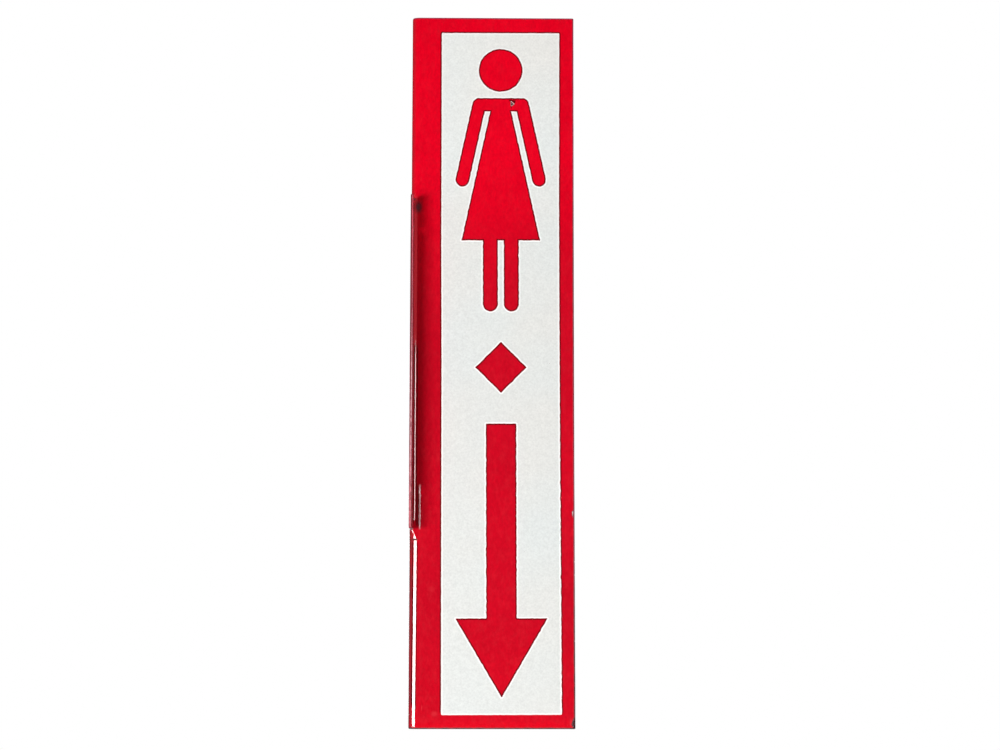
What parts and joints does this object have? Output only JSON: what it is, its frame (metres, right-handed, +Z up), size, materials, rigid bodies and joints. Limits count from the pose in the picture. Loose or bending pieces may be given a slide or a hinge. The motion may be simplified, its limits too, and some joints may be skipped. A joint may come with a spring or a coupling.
{
  "type": "flanged wall sign",
  "caption": "Tall two-faced enamelled steel restroom sign on a split wall flange, with a figure and a down arrow in red on a white panel.",
  "frame": {"origin": "on the wall face of the middle tab, half way along its line of screw holes", "axes": "+X from the wall to the free edge, +Z up, the front face looks to -Y and the middle tab is bent towards it"},
  "size_m": [0.1397, 0.0484, 0.6096],
  "materials": {
    "sheet_steel": "satin",
    "ground_enamel": "gloss",
    "white_enamel": "gloss",
    "red_enamel": "gloss"
  },
  "bodies": {
    "root": {"steel_sheet": "sheet_steel", "ground_coat_front": "ground_enamel", "ground_coat_back": "ground_enamel", "white_coat_front": "white_enamel", "white_coat_back": "white_enamel", "red_border_front": "red_enamel", "red_border_back": "red_enamel", "figure_head_front": "red_enamel", "figure_head_back": "red_enamel", "figure_body_front": "red_enamel", "figure_body_back": "red_enamel", "lozenge_front": "red_enamel", "lozenge_back": "red_enamel", "arrow_front": "red_enamel", "arrow_back": "red_enamel"}
  },
  "joints": []
}
